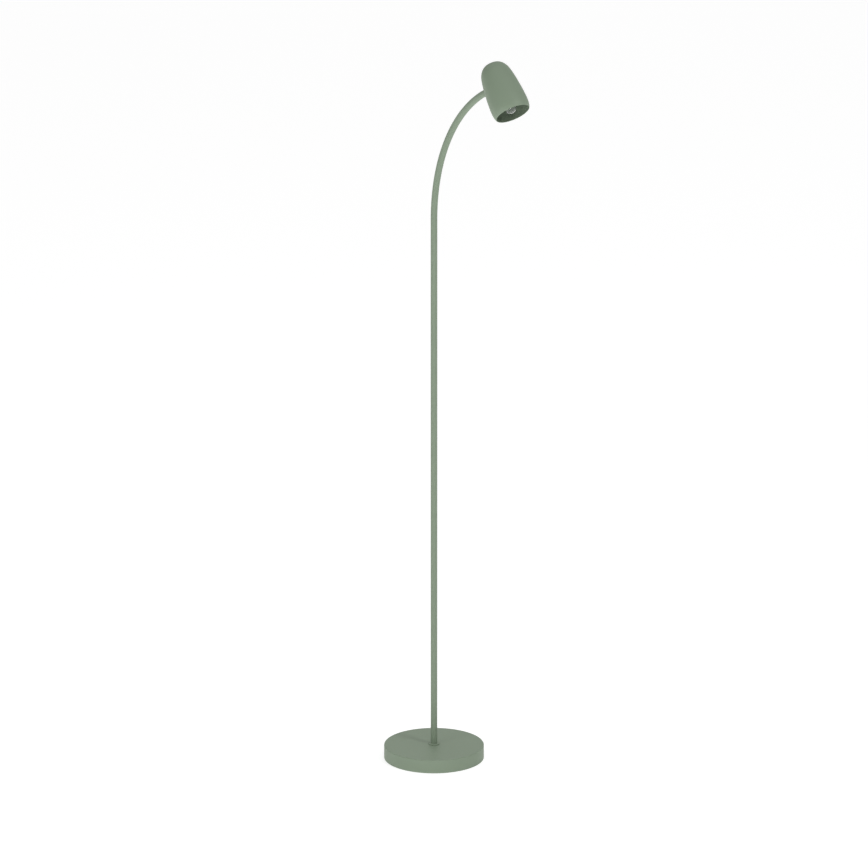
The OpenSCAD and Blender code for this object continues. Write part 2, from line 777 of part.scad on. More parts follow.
// Head
module shade() {
    lip_in = inner_line[0];
    lip_mid = (outer_line[0] + lip_in) / 2;
    lip_turn = atan2(outer_line[0][1] - lip_in[1], outer_line[0][0] - lip_in[0]);
    lip = arc(lip_mid, shade_wall / 2, lip_turn - 180, lip_turn, lip_steps);
    inner_rest = [for (i = [1:len(inner_line) - 1]) inner_line[i]];
    color(sage) in_head() difference() {
        rotate_extrude() polygon(concat(lip, [for (i = [1:len(outer_line) - 1]) outer_line[i]],
            reversed(inner_rest)));
        translate([0, 0, knuckle_s]) along_x(head_stud_r + part_gap, -seat_r - over, -seat_r / 2);
    }
}
module shade_core(line) {
    rotate_extrude() polygon(concat([[0, line[0][1]]], line));
}
module shade_saddle() {
    color(sage) in_head() difference() {
        translate([0, 0, knuckle_s]) along_x(lap_r, -seat_r, -inner_seat_r);
        shade_core(outer_line);
        translate([0, 0, knuckle_s]) along_x(head_stud_r, -seat_r - over, -inner_seat_r + over);
    }
}
module inner_saddle() {
    color(steel) in_head() difference() {
        intersection() {
            translate([0, 0, knuckle_s]) along_x(lap_r, -seat_r, -inner_seat_r);
            shade_core(inner_line);
        }
        translate([0, 0, knuckle_s]) along_x(head_stud_r, -seat_r - over, -inner_seat_r + over);
    }
}
module holder_bracket() {
    foot_s = knuckle_s - strap_w / 2 - strap_foot;
    turn_r = strap_bend + strap_t;
    color(steel) in_head() difference() {
        union() {
            rotate([90, 0, 0]) translate([0, 0, -strap_w / 2]) linear_extrude(strap_w) union() {
                translate([-inner_seat_r, foot_s]) square([strap_t, strap_top - turn_r - foot_s]);
                translate([-inner_seat_r + turn_r, holder_end])
                    square([inner_seat_r - turn_r, strap_t]);
                intersection() {
                    translate([-inner_seat_r + turn_r, strap_top - turn_r]) difference() {
                        circle(r = turn_r);
                        circle(r = strap_bend);
                    }
                    translate([-inner_seat_r, strap_top - turn_r]) square([turn_r, turn_r]);
                }
            }
            translate([0, 0, holder_end]) cylinder(d = strap_w + strap_eye, h = strap_t);
        }
        translate([0, 0, holder_end - over]) cylinder(r = thread_r + slip, h = strap_t + 2 * over);
        translate([0, 0, knuckle_s])
            along_x(head_stud_r + part_gap, -inner_seat_r - over, -strap_in + over);
    }
}
module stud_nut() {
    color(steel) in_head() translate([-strap_in, 0, knuckle_s]) rotate([0, 90, 0])
        hex_nut(stud_nut_af, head_stud_r, stud_nut_t);
}
module lampholder() {
    body_r = holder_d / 2;
    skirt_r = skirt_d / 2;
    edge = holder_d * holder_edge_share;
    color(cream) in_head() difference() {
        rotate_extrude() polygon([
            [0, holder_s], [skirt_r, holder_s], [skirt_r, holder_s + skirt_l],
            [body_r, holder_s + skirt_l + edge], [body_r, holder_end - edge],
            [body_r - edge, holder_end], [0, holder_end]
        ]);
        translate([0, 0, holder_s - over]) cylinder(d = socket_d, h = socket_l + over);
        translate([0, 0, holder_end - neck_in]) cylinder(r = thread_r, h = neck_in + over);
        for (side = [-1, 1]) translate([0, side * wire_side, knuckle_s])
            along_x(wire_d / 2 + part_gap, -body_r - over, -body_r + wire_in + wire_end_gap);
    }
}
module holder_nipple() {
    color(steel) in_head() translate([0, 0, holder_end - neck_in])
        tube(thread_r, thread_bore_r, neck_l);
}
module holder_nut() {
    color(steel) in_head() translate([0, 0, strap_top]) hex_nut(stem_nut_af, thread_r, stem_nut_t);
}
module screw_shell() {
    color(brass) in_head() translate([0, 0, holder_s + shell_in])
        tube(socket_d / 2, socket_d / 2 - shell_t, shell_l);
}
module centre_contact() {
    contact_h = socket_end - cap_contact_s - cap_contact_h;
    contact_w = socket_d * contact_w_share;
    arm_l = socket_d * contact_reach_share * 2;
    arm_h = contact_h * contact_arm_share;
    color(brass) in_head() translate([0, 0, cap_contact_s + cap_contact_h]) union() {
        cylinder(d = contact_w, h = contact_h);
        translate([-arm_l / 2, -contact_w / 2, contact_h - arm_h]) cube([arm_l, contact_w, arm_h]);
    }
}
module head_leads() {
    color(cream) in_head() for (side = [-1, 1]) translate([0, side * wire_side, knuckle_s])
        along_x(wire_d / 2, -seat_r, -holder_d / 2 + wire_in);
}

// Bulb
module bulb_glass() {
    centre = [0, bulb_centre_s];
    side = [
        [bulb_r, bulb_centre_s], [bulb_r, bulb_centre_s + glass_shoulder],
        [glass_neck_r, glass_end_s - glass_taper], [glass_neck_r, glass_end_s]
    ];
    side_out = [for (i = [1:curve_steps]) bend(side, i / curve_steps)];
    side_in = [for (i = [curve_steps:-1:1]) inside(side, i / curve_steps, glass_t)];
    color(clear) in_head() rotate_extrude() polygon(concat(
        arc(centre, bulb_r, -90, 0, curve_steps), side_out,
        side_in, arc(centre, bulb_r - glass_t, 0, -90, curve_steps)
    ));
}
module bulb_cap() {
    cap_r = cap_d / 2;
    end_r = cap_r * cap_end_share;
    taper_s = cap_s + cap_l;
    color(steel) in_head() rotate_extrude() polygon([
        [cap_r - cap_t, cap_s], [cap_r, cap_s], [cap_r, taper_s], [end_r, cap_contact_s],
        [0, cap_contact_s], [0, cap_contact_s - cap_t], [end_r - cap_t, cap_contact_s - cap_t],
        [cap_r - cap_t, taper_s - cap_t]
    ]);
}
module bulb_tip() {
    color(brass) in_head() translate([0, 0, cap_contact_s]) intersection() {
        cylinder(d = cap_d * cap_tip_share, h = cap_contact_h);
        translate([0, 0, -cap_d / 2 + cap_contact_h]) sphere(d = cap_d);
    }
}
module bulb_stem() {
    stem_r = glass_neck_r * mount_share;
    flare_r = glass_neck_r - glass_t;
    color(clear) in_head() rotate_extrude() polygon([
        [0, stem_top_s], [stem_r * mount_top_share, stem_top_s], [stem_r, stem_top_s + mount_round],
        [stem_r, glass_end_s - mount_flare], [flare_r, glass_end_s], [0, glass_end_s]
    ]);
}
module bulb_filament() {
    foot_w = glass_neck_r * mount_share;
    spread = (filament_w - foot_w) / 2;
    drop = stem_top_s + support_in - filament_s;
    color(steel) in_head() union() {
        for (side = [-1, 1]) {
            translate([0, side * foot_w / 2, stem_top_s + support_in])
                rotate([side * atan2(spread, drop), 0, 0])
                    mirror([0, 0, 1]) cylinder(d = support_d, h = norm([spread, drop]));
        }
        translate([0, 0, filament_s]) along_y(filament_d / 2, -filament_w / 2, filament_w / 2);
    }
}

floor_pad();
base_plate();
plate_screws();
base_weight();
base_cover();
cord_grommet();
terminal_block();
terminal_screws();
stem_nipple();
stem_nut();
stem_washer();
foot_collar();
foot_insert();
lower_pole();
lower_stud();
upper_socket();
upper_pole();
upper_stud();
arm_socket();
arm_tube();
arm_end_bush();
pole_lead();
swivel_washer();
stop_pin();
knuckle_base();
swivel_clip();
friction_washer();
knuckle_head();
pivot_screw();
pivot_spring();
pivot_nut();
shade();
shade_saddle();
inner_saddle();
holder_bracket();
stud_nut();
lampholder();
holder_nipple();
holder_nut();
screw_shell();
centre_contact();
head_leads();
bulb_glass();
bulb_cap();
bulb_tip();
bulb_stem();
bulb_filament();
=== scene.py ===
"""An adjustable floor lamp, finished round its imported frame. Metres, +Z up.

The pieces follow in the order in which the lamp is put together: the base, the pole and arm, the
knuckle, the shade, the lampholder and the bulb. The studio and the camera come last.
"""

import json
import math

import bmesh
import bpy
from mathutils import Matrix, Vector
from mathutils.geometry import interpolate_bezier


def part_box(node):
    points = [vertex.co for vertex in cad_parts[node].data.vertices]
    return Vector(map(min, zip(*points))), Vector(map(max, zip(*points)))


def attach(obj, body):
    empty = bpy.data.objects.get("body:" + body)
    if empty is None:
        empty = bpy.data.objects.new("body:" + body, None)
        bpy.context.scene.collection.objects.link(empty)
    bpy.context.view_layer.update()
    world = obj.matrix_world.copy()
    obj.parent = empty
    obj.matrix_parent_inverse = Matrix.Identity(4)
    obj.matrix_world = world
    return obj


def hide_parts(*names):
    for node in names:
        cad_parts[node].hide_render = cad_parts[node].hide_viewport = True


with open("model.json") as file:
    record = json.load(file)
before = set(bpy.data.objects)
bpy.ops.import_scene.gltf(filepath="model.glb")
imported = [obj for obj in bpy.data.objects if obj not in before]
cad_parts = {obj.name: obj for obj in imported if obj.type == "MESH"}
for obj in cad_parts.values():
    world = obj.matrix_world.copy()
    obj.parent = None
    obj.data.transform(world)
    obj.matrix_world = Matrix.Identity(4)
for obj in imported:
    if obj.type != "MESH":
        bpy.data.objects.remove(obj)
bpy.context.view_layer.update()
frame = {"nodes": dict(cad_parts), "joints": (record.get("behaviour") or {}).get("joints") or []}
nodes = frame["nodes"]

# Base cover. A shallow cup pressed from steel sheet and powder coated matt sage all over. Its top
# is drilled for the stem and its rear wall for the cord, and its rim stops just off the floor.
MM = 0.001
STAND = "stand"
MERGE_WITHIN = 0.01 * MM
SHARP_ANGLE = math.radians(38)
cover_wall = 1.2 * MM
cover_round = 2 * MM
rim_round = 0.25 * MM
stem_hole_r = 5.25 * MM
grommet_neck_r = 4 * MM
cover_low, cover_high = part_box("base_cover")
grommet_low, grommet_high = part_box("cord_grommet")
cover_r = cover_high.x
cord_height = (grommet_low.z + grommet_high.z) / 2
outside_cover = -1.1 * cover_r
inside_cover = -0.9 * cover_r


class Value:
    """A shader socket that can be used in sums: each sum adds its own Math node."""

    def __init__(self, finish, socket):
        self.finish = finish
        self.socket = socket

    def maths(self, operation, *terms):
        return self.finish.node("Math", {"operation": operation}, dict(enumerate(terms)))

    def __add__(self, other):
        return self.maths("ADD", self, other)

    def __rsub__(self, other):
        return self.maths("SUBTRACT", other, self)

    def __mul__(self, other):
        return self.maths("MULTIPLY", self, other)

    __radd__ = __add__
    __rmul__ = __mul__


class Finish:
    """The nodes of one material. What a call returns is linked by passing it to the next call."""

    def __init__(self, name):
        self.material = bpy.data.materials.new(name)
        self.material.use_nodes = True
        self.tree = self.material.node_tree
        self.tree.nodes.clear()
        self.places = self.node("TexCoord", output="Object")

    def node(self, kind, settings=None, inputs=None, output=0):
        made = self.tree.nodes.new("ShaderNode" + kind)
        for name, value in (settings or {}).items():
            setattr(made, name, value)
        for name, value in (inputs or {}).items():
            if isinstance(value, Value):
                self.tree.links.new(value.socket, made.inputs[name])
            else:
                made.inputs[name].default_value = value
        return Value(self, made.outputs[output]) if made.outputs else None

    def noise(self, scale, detail, stretch=(1, 1, 1)):
        """Noise from 0 to 1, about `scale` blotches to the metre, longer along a small stretch."""
        places = self.node("Mapping", {}, {"Vector": self.places, "Scale": stretch})
        return self.node("TexNoise", {}, {"Vector": places, "Scale": scale, "Detail": detail})

    def tint(self, share, first, second):
        """A colour that goes from first to second as share goes from 0 to 1."""
        colours = {0: share, 6: (*first, 1), 7: (*second, 1)}
        return self.node("Mix", {"data_type": "RGBA"}, colours, output=2)

    def bump(self, height, depth):
        return self.node("Bump", {}, {"Height": height, "Distance": depth})

    def surface(self, **inputs):
        """Sets the shader's sockets, named with _ for a space, and returns the material."""
        named = {name.replace("_", " "): value for name, value in inputs.items()}
        shader = self.node("BsdfPrincipled", {}, named)
        self.node("OutputMaterial", {}, {"Surface": shader})
        return self.material


def powder_coat():
    """Matt sage powder coat: faint clouding, fine orange peel and an uneven low sheen."""
    coat = Finish("sage_paint")
    clouds = coat.noise(7, 3)
    peel = coat.noise(650, 2)
    grit = coat.noise(2400, 1)
    clouding = 0.6 * clouds + 0.4 * grit
    return coat.surface(
        Base_Color=coat.tint(clouding, (0.198, 0.257, 0.182), (0.225, 0.285, 0.207)),
        Roughness=0.46 + 0.12 * peel + 0.06 * grit,
        Normal=coat.bump(0.7 * peel + 0.3 * grit, 0.03 * MM),
        Specular_IOR_Level=0.42,
    )


def outline(corners, closed=True):
    """A section in the XZ plane, from (radius, height, rounding) corners."""
    shape = bmesh.new()
    points = [shape.verts.new((radius, 0, height)) for radius, height, rounding in corners]
    following = points[1:] + points[:1] if closed else points[1:]
    for start, end in zip(points, following):
        shape.edges.new((start, end))
    for point, (radius, height, rounding) in zip(points, corners):
        if rounding:
            bmesh.ops.bevel(shape, geom=[point], offset=rounding, offset_type="OFFSET",
                affect="VERTICES", segments=4, profile=0.5, material=-1)
    return shape


def turned(shape, steps):
    """Spins a section once round the Z axis and closes its seam and its ends on the axis."""
    bmesh.ops.spin(shape, geom=shape.verts[:] + shape.edges[:], cent=(0, 0, 0), axis=(0, 0, 1),
        angle=math.tau, steps=steps, use_merge=True)
    bmesh.ops.remove_doubles(shape, verts=shape.verts[:], dist=MERGE_WITHIN)
    bmesh.ops.recalc_face_normals(shape, faces=shape.faces[:])
    return shape


def piece(name, shape, finish, place=None):
    """Makes a smoothly shaded object from a shape, with its place in its mesh."""
    if place:
        bmesh.ops.transform(shape, matrix=place, verts=shape.verts[:])
    mesh = bpy.data.meshes.new(name)
    shape.to_mesh(mesh)
    shape.free()
    mesh.materials.append(finish)
    mesh.polygons.foreach_set("use_smooth", [True] * len(mesh.polygons))
    mesh.set_sharp_from_angle(angle=SHARP_ANGLE)
    made = bpy.data.objects.new(name, mesh)
    bpy.context.scene.collection.objects.link(made)
    even = made.modifiers.new("even_shading", "WEIGHTED_NORMAL")
    even.keep_sharp = True
    return made


def drill(made, radius, start, end):
    """Cuts a round hole through a piece, from one point to another."""
    start = Vector(start)
    along = Vector(end) - start
    shape = bmesh.new()
    bmesh.ops.create_cone(shape, cap_ends=True, segments=48, radius1=radius, radius2=radius,
        depth=along.length)
    turn = along.to_track_quat("Z", "Y").to_matrix().to_4x4()
    place = Matrix.Translation(start + along / 2) @ turn
    cutter = piece("cutter", shape, made.data.materials[0], place)
    hole = made.modifiers.new("hole", "BOOLEAN")
    hole.operation = "DIFFERENCE"
    hole.solver = "EXACT"
    hole.object = cutter
    bpy.context.view_layer.objects.active = made
    bpy.ops.object.modifier_move_to_index(modifier="hole", index=0)
    bpy.ops.object.modifier_apply(modifier="hole")
    bpy.data.objects.remove(cutter)


sage_paint = powder_coat()
cover_top = cover_high.z
cover_section = outline([
    (cover_r, cover_low.z, rim_round),
    (cover_r, cover_top, cover_round),
    (stem_hole_r, cover_top, 0),
    (stem_hole_r, cover_top - cover_wall, 0),
    (cover_r - cover_wall, cover_top - cover_wall, cover_round - cover_wall),
    (cover_r - cover_wall, cover_low.z, rim_round),
])
cover = piece("base_cover_shell", turned(cover_section, steps=192), sage_paint)
drill(cover, grommet_neck_r, (outside_cover, 0, cord_height), (inside_cover, 0, cord_height))
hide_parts("base_cover")
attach(cover, STAND)

# Weight. A disc of grey cast iron that keeps the lamp upright, hidden under the cover. It is
# sand cast, so its skin is coarse, and the stem's nut clamps it to the cover.


def coated(finish, slot, *names):
    """Gives CAD nodes whose shape already serves their material."""
    for name in names:
        nodes[name].data.materials.clear()
        nodes[name].data.materials.append(finish)


def iron_skin():
    """Grey cast iron straight from the sand, with a dull bloom and a coarse skin."""
    iron = Finish("cast_iron")
    blotches = iron.noise(60, 4)
    sand = iron.noise(900, 3)
    return iron.surface(
        Base_Color=iron.tint(blotches, (0.035, 0.035, 0.037), (0.085, 0.082, 0.078)),
        Metallic=0.55,
        Roughness=0.62 + 0.25 * sand,
        Normal=iron.bump(0.4 * blotches + 0.6 * sand, 0.3 * MM),
    )


coated(iron_skin(), "cast_iron", "base_weight")

# Grommet. A moulded rubber ring snapped into the hole in the cover's rear wall, with a lip on
# each side of the sheet. It lines the way in for the cord.
grommet_lip_r = grommet_high.z - cord_height
cord_bore_r = 3.1 * MM
lip_t = 1.3 * MM
lip_round = 0.45 * MM


def rubber_skin():
    """Black moulded rubber with a soft, slightly dusty face."""
    rubber = Finish("black_rubber")
    dust = rubber.noise(220, 4)
    grain = rubber.noise(2000, 2)
    return rubber.surface(
        Base_Color=rubber.tint(dust, (0.012, 0.012, 0.013), (0.030, 0.030, 0.031)),
        Roughness=0.58 + 0.2 * grain,
        Normal=rubber.bump(grain, 0.03 * MM),
    )


grommet_section = outline([
    (cord_bore_r, grommet_low.x, lip_round),
    (grommet_lip_r, grommet_low.x, lip_round),
    (grommet_lip_r, grommet_low.x + lip_t, 0),
    (grommet_neck_r, grommet_low.x + lip_t, 0),
    (grommet_neck_r, grommet_high.x - lip_t, 0),
    (grommet_lip_r, grommet_high.x - lip_t, 0),
    (grommet_lip_r, grommet_high.x, lip_round),
    (cord_bore_r, grommet_high.x, lip_round),
])
grommet_place = Matrix.Translation((0, 0, cord_height)) @ Matrix.Rotation(math.radians(90), 4, "Y")
grommet_shape = turned(grommet_section, steps=48)
grommet = piece("cord_grommet_ring", grommet_shape, rubber_skin(), grommet_place)
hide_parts("cord_grommet")
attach(grommet, STAND)

# Terminal block. A two-way block moulded in cream plastic under the weight, where the cord would
# meet the pole's lead. Four brass clamp screws hold the wires.


def cream_moulding():
    """Cream plastic as it leaves the mould, with faint flow lines and a soft gloss."""
    plastic = Finish("cream_plastic")
    flow = plastic.noise(40, 3, stretch=(1, 1, 0.2))
    grain = plastic.noise(1500, 2)
    return plastic.surface(
        Base_Color=plastic.tint(flow, (0.70, 0.655, 0.53), (0.78, 0.74, 0.62)),
        Roughness=0.34 + 0.14 * grain,
        Normal=plastic.bump(0.5 * flow + 0.5 * grain, 0.02 * MM),
    )


def brass_skin():
    """Rolled brass, lightly tarnished in blotches."""
    brass = Finish("brass")
    tarnish = brass.noise(180, 4)
    rolling = brass.noise(1400, 2, stretch=(1, 1, 0.1))
    return brass.surface(
        Base_Color=brass.tint(tarnish, (0.56, 0.37, 0.13), (0.79, 0.58, 0.26)),
        Metallic=1.0,
        Roughness=0.22 + 0.2 * tarnish,
        Normal=brass.bump(rolling, 0.01 * MM),
    )


cream_plastic = cream_moulding()
brass_metal = brass_skin()
coated(cream_plastic, "cream_plastic", "terminal_block")
coated(brass_metal, "brass", "terminal_screws")

# Plate, screws and pad. A zinc-plated steel plate closes the underside on three screws, and a
# disc of black foam rubber glued to it keeps the lamp off the floor.


def zinc_plate():
    """Bright zinc plating over steel, with a faint cold bloom and fine brushing."""
    zinc = Finish("zinc_steel")
    bloom = zinc.noise(90, 4)
    brushing = zinc.noise(1600, 2, stretch=(0.08, 1, 1))
    return zinc.surface(
        Base_Color=zinc.tint(bloom, (0.50, 0.51, 0.53), (0.68, 0.68, 0.67)),
        Metallic=1.0,
        Roughness=0.27 + 0.18 * bloom + 0.08 * brushing,
        Normal=zinc.bump(brushing, 0.01 * MM),
    )


def foam_skin():
    """Closed-cell black foam rubber: small dark cells with thin walls."""
    foam = Finish("foam_rubber")
    cells = foam.node("TexVoronoi", {}, {"Vector": foam.places, "Scale": 1100})
    soot = foam.noise(120, 3)
    return foam.surface(
        Base_Color=foam.tint(soot, (0.014, 0.014, 0.015), (0.034, 0.034, 0.035)),
        Roughness=0.95 - 0.1 * cells,
        Normal=foam.bump(cells, 0.2 * MM),
    )


zinc_steel = zinc_plate()
coated(zinc_steel, "zinc_steel", "base_plate", "plate_screws")
coated(foam_skin(), "foam_rubber", "floor_pad")

# Stem. A hollow threaded steel tube that draws the pole down on to the base, with a washer and a
# thin hex nut in the space under the weight.
coated(zinc_steel, "zinc_steel", "stem_nipple", "stem_nut", "stem_washer")

# Foot collar. A small turned steel ring, painted with the rest, that seats the pole on the base
# and covers the hole. Its top edge is rounded over.
foot_low, foot_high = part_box("foot_collar")
pole_low, pole_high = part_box("lower_pole")
pole_r = pole_high.x
foot_gap = 0.05 * MM
foot_round = 0.9 * MM
foot_seat_round = 0.2 * MM
foot_section = outline([
    (stem_hole_r, foot_low.z, 0),
    (foot_high.x, foot_low.z, 0),
    (foot_high.x, foot_high.z, foot_round),
    (pole_r + foot_gap, foot_high.z, foot_seat_round),
    (pole_r + foot_gap, pole_low.z, 0),
    (stem_hole_r, pole_low.z, 0),
])
foot = piece("foot_collar_ring", turned(foot_section, steps=64), sage_paint)
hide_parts("foot_collar")
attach(foot, STAND)

# Pole. Two lengths of drawn steel tube, painted, that screw together on hidden threaded studs.
# Each end is eased off, so the two seams read as hairlines.
pole_wall = 1.2 * MM
tube_ease = 0.3 * MM
for name in ("lower_pole", "upper_pole"):
    tube_low, tube_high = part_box(name)
    tube_section = outline([
        (pole_r, tube_low.z, tube_ease),
        (pole_r, tube_high.z, tube_ease),
        (pole_r - pole_wall, tube_high.z, 0),
        (pole_r - pole_wall, tube_low.z, 0),
    ])
    tube = piece(name + "_tube", turned(tube_section, steps=64), sage_paint)
    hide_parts(name)
    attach(tube, STAND)
coated(zinc_steel, "zinc_steel", "foot_insert", "lower_stud", "upper_socket", "upper_stud",
    "arm_socket")

# Arm. One tube of the same stock: a short straight, then a single even bend over to the head. It
# is bent cold on a round former and painted with the pole.
RIM_ANGLE = math.radians(60)
arm_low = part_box("arm_tube")[0]
swivel = next(joint for joint in frame["joints"] if joint["name"] == "head_swivel")
tilt = next(joint for joint in frame["joints"] if joint["name"] == "head_tilt")
arm_end = Vector(swivel["pos_m"])
arm_line = Vector(swivel["axis"])
arm_sweep = math.atan2(arm_line.x, arm_line.z)
bend_r = arm_end.x / (1 - math.cos(arm_sweep))
bend_z = arm_end.z - bend_r * math.sin(arm_sweep)
arm_shape = bmesh.new()
bmesh.ops.create_circle(arm_shape, segments=64, radius=pole_r,
    matrix=Matrix.Translation((0, 0, arm_low.z)))
grown = bmesh.ops.extrude_edge_only(arm_shape, edges=arm_shape.edges[:])["geom"]
bend_start = [part for part in grown if not isinstance(part, bmesh.types.BMFace)]
bmesh.ops.translate(arm_shape, vec=(0, 0, bend_z - arm_low.z),
    verts=[part for part in bend_start if isinstance(part, bmesh.types.BMVert)])
bmesh.ops.spin(arm_shape, geom=bend_start, cent=(bend_r, 0, bend_z), axis=(0, 1, 0),
    angle=arm_sweep, steps=64)
bmesh.ops.recalc_face_normals(arm_shape, faces=arm_shape.faces[:])
bmesh.ops.solidify(arm_shape, geom=arm_shape.faces[:], thickness=pole_wall)
rims = [edge for edge in arm_shape.edges if edge.calc_face_angle(0) > RIM_ANGLE]
bmesh.ops.bevel(arm_shape, geom=rims, offset=tube_ease, offset_type="OFFSET", affect="EDGES",
    segments=3, profile=0.5, material=-1)
arm = piece("bent_arm", arm_shape, sage_paint)
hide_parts("arm_tube")
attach(arm, STAND)

# Leads. Two-core flexible lead with a pale sheath, inside the whole pole and arm, and two wires in
# the head with the same pale cover.


def sheath_skin():
    """Soft pale vinyl sheath with a slightly rubbed surface."""
    sheath = Finish("lead_sheath")
    rub = sheath.noise(150, 3)
    return sheath.surface(
        Base_Color=sheath.tint(rub, (0.55, 0.53, 0.48), (0.66, 0.64, 0.59)),
        Roughness=0.40 + 0.15 * rub,
        Normal=sheath.bump(rub, 0.02 * MM),
    )


lead_sheath = sheath_skin()
coated(lead_sheath, "lead_sheath", "pole_lead", "head_leads")

# Swivel. A steel bush pressed into the end of the arm, with a stop pin, carries the knuckle's
# spigot. A fibre ring under the knuckle and another between its halves give both turns their drag.


def fibre_skin():
    """Pressed friction fibre, dark brown, with short matted strands."""
    fibre = Finish("friction_fibre")
    strands = fibre.noise(1300, 3, stretch=(0.3, 1, 0.3))
    return fibre.surface(
        Base_Color=fibre.tint(strands, (0.045, 0.038, 0.032), (0.12, 0.10, 0.085)),
        Roughness=0.82 + 0.12 * strands,
        Normal=fibre.bump(strands, 0.05 * MM),
    )


friction_fibre = fibre_skin()
coated(zinc_steel, "zinc_steel", "arm_end_bush", "stop_pin", "swivel_clip")
coated(friction_fibre, "friction_fibre", "swivel_washer", "friction_washer")

# Knuckle. Two turned steel halves, painted, lapped side by side on a slotted pivot screw with a
# spring washer and a nut let into the far side.
coated(sage_paint, "sage_paint", "knuckle_base", "knuckle_head")
coated(zinc_steel, "zinc_steel", "pivot_screw", "pivot_spring", "pivot_nut")

# Shade. A bell spun from aluminium sheet and painted inside and out, with a softly rounded lip at
# its mouth, full sides and a domed end. The two spacers cover the stud's way through its side, so
# no hole is cut for it here.
HEAD = "head"
pivot = Vector(tilt["pos_m"])
head_aim = math.radians(41.2)
pivot_out = 50.459 * MM
knuckle_s = 86.4 * MM
shade_l = 127.5 * MM
mouth_r = 39.5 * MM
belly_r = 43.3 * MM
belly_s = 21 * MM
shoulder_r = 32.1 * MM
crown_h = 19.6 * MM
shade_wall = 1.2 * MM
lip_reach = 3 * MM
lip_round_share = 0.45
side = Vector((math.cos(head_aim), 0, math.sin(head_aim)))
upward = Vector((-math.sin(head_aim), 0, math.cos(head_aim)))
mouth = pivot + pivot_out * side - knuckle_s * upward
in_head = Matrix.Translation(mouth) @ Matrix.Rotation(-head_aim, 4, "Y")
# The outline's three curves run from the mouth to the belly, the shoulder and the middle of the
# crown. Where a curve's handles lie is given in shares of what the curve spans.
lip_lean = 0.78
lip_bow = 0.25
belly_bow = 0.62
side_bow = 0.228
shoulder_bow = 0.16
shoulder_lean = 0.45
crown_bow = 0.77
crown_flat = 0.515
shoulder_s = shade_l - crown_h
shoulder_rise = shoulder_bow * (shoulder_s - belly_s)
shoulder_in = shoulder_lean * shoulder_rise
crown_in = crown_bow * shoulder_in * crown_h / shoulder_rise
shade_curves = [
    ((mouth_r, 0), (mouth_r + lip_lean * (belly_r - mouth_r), lip_bow * belly_s),
        (belly_r, belly_bow * belly_s), (belly_r, belly_s)),
    ((belly_r, belly_s), (belly_r, belly_s + side_bow * (shoulder_s - belly_s)),
        (shoulder_r + shoulder_in, shoulder_s - shoulder_rise), (shoulder_r, shoulder_s)),
    ((shoulder_r, shoulder_s), (shoulder_r - crown_in, shoulder_s + crown_bow * crown_h),
        (crown_flat * shoulder_r, shade_l), (0, shade_l)),
]


def curved_line(curves, count):
    """An open section through Bezier curves of (radius, height), with this many points on each."""
    shape = bmesh.new()
    last = None
    for curve in curves:
        knots = [Vector((radius, 0, height)) for radius, height in curve]
        points = interpolate_bezier(*knots, count)
        for point in points[1:] if last else points:
            new = shape.verts.new(point)
            if last:
                shape.edges.new((last, new))
            last = new
    return shape


shade_shape = turned(curved_line(shade_curves, 20), steps=144)
bmesh.ops.solidify(shade_shape, geom=shade_shape.faces[:], thickness=shade_wall)
lip = [edge for edge in shade_shape.edges
    if edge.calc_face_angle(0) > RIM_ANGLE and max(point.co.z for point in edge.verts) < lip_reach]
bmesh.ops.bevel(shade_shape, geom=lip, offset=lip_round_share * shade_wall, offset_type="OFFSET",
    affect="EDGES", segments=4, profile=0.5, material=-1)
shade = piece("shade_bell", shade_shape, sage_paint, in_head)
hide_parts("shade")
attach(shade, HEAD)

# Spacers and bracket. A painted spacer outside the wall and a plated one inside spread the load
# of the stud's nut, which also clamps the bent strap that carries the lampholder.
coated(sage_paint, "sage_paint", "shade_saddle")
coated(zinc_steel, "zinc_steel", "inner_saddle", "holder_bracket", "stud_nut")

# Lampholder. A small screw holder moulded in cream plastic, with a slimmer skirt at its open end,
# held to the bracket by a hollow nipple and a nut.
holder_s = 52 * MM
holder_end = 96 * MM
skirt_end = 66 * MM
socket_end = 78 * MM
neck_start = 88 * MM
holder_r = 13.5 * MM
skirt_r = 11.5 * MM
socket_r = 7.6 * MM
neck_r = 5 * MM
body_edge = 1.9 * MM
holder_round = 0.8 * MM
mouth_round = 0.5 * MM
skirt_round = 0.3 * MM
holder_section = outline([
    (0, socket_end, 0),
    (socket_r, socket_end, 0),
    (socket_r, holder_s, mouth_round),
    (skirt_r, holder_s, holder_round),
    (skirt_r, skirt_end, skirt_round),
    (holder_r, skirt_end + body_edge, holder_round),
    (holder_r, holder_end - body_edge, holder_round),
    (holder_r - body_edge, holder_end, mouth_round),
    (neck_r, holder_end, 0),
    (neck_r, neck_start, 0),
    (0, neck_start, 0),
], closed=False)
holder = piece("lampholder_body", turned(holder_section, steps=72), cream_plastic, in_head)
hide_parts("lampholder")
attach(holder, HEAD)
coated(zinc_steel, "zinc_steel", "holder_nipple", "holder_nut")
coated(brass_metal, "brass", "screw_shell", "centre_contact")

# Bulb. A clear blown envelope with a round end, sealed to a glass stem that carries a straight
# filament on two wires, in a plated screw cap with a brass contact.
bulb_r = 15.6 * MM
bulb_tip_s = 2.1 * MM
glass_t = 0.6 * MM
neck_glass_r = 6.4 * MM
glass_l = 48 * MM
glass_in_cap = 2 * MM
glass_shoulder = 15 * MM
glass_taper = 16 * MM
glass_end_s = bulb_tip_s + glass_l + glass_in_cap
bulb_centre = bulb_tip_s + bulb_r
# A curve is a quarter circle when its handles are this share of the radius
circle_share = 0.5523


